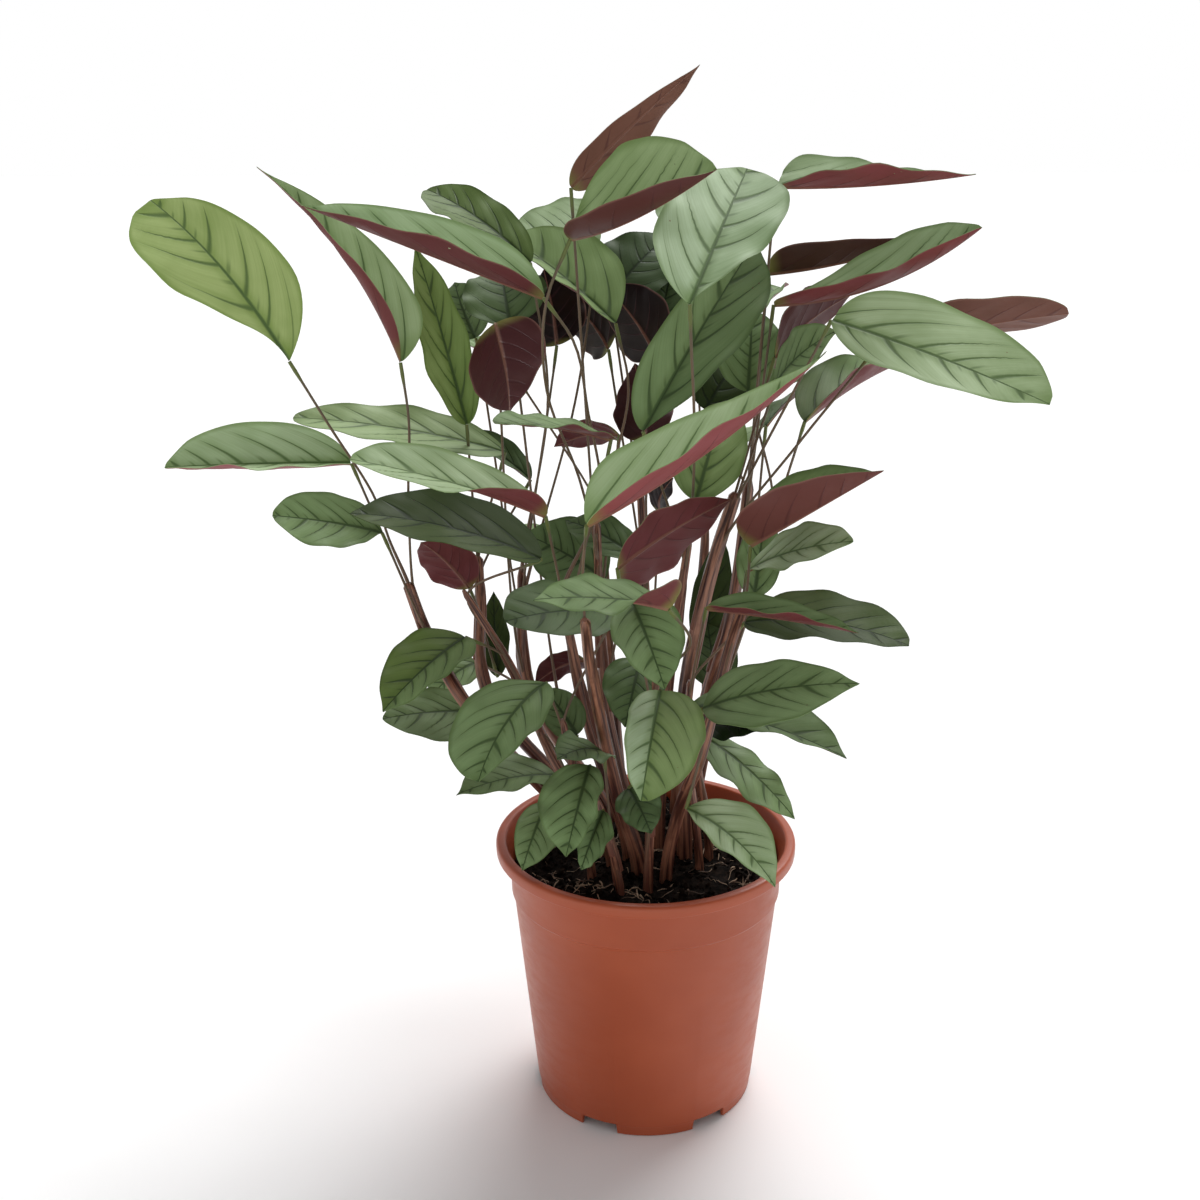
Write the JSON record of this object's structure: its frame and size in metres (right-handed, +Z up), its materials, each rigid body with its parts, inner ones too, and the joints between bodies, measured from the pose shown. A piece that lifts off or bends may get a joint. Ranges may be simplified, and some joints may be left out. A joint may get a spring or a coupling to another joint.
{
  "type": "potted compactstar ctenanthe",
  "caption": "Bushy prayer plant with silver-green dark-veined leaves, wine purple below, in a round terracotta-coloured nursery pot.",
  "frame": {"origin": "middle of the pot's base, on the surface that it stands on", "axes": "+Z up along the pot's axis, -Y towards the front of the plant"},
  "size_m": [0.4712, 0.3774, 0.5711],
  "materials": {
    "pot": "satin",
    "soil": "matte",
    "foliage": "satin"
  },
  "bodies": {
    "root": {"pot": "pot", "soil": "soil", "leafy_stem_01": "foliage", "leafy_stem_02": "foliage", "leafy_stem_03": "foliage", "leafy_stem_04": "foliage", "leafy_stem_05": "foliage", "leafy_stem_06": "foliage", "leafy_stem_07": "foliage", "leafy_stem_08": "foliage", "leafy_stem_09": "foliage", "leafy_stem_10": "foliage", "leafy_stem_11": "foliage", "leafy_stem_12": "foliage", "leafy_stem_13": "foliage", "leafy_stem_14": "foliage", "leafy_stem_15": "foliage", "leafy_stem_16": "foliage", "leafy_stem_17": "foliage", "leafy_stem_18": "foliage", "leafy_stem_19": "foliage", "leafy_stem_20": "foliage"}
  },
  "joints": []
}
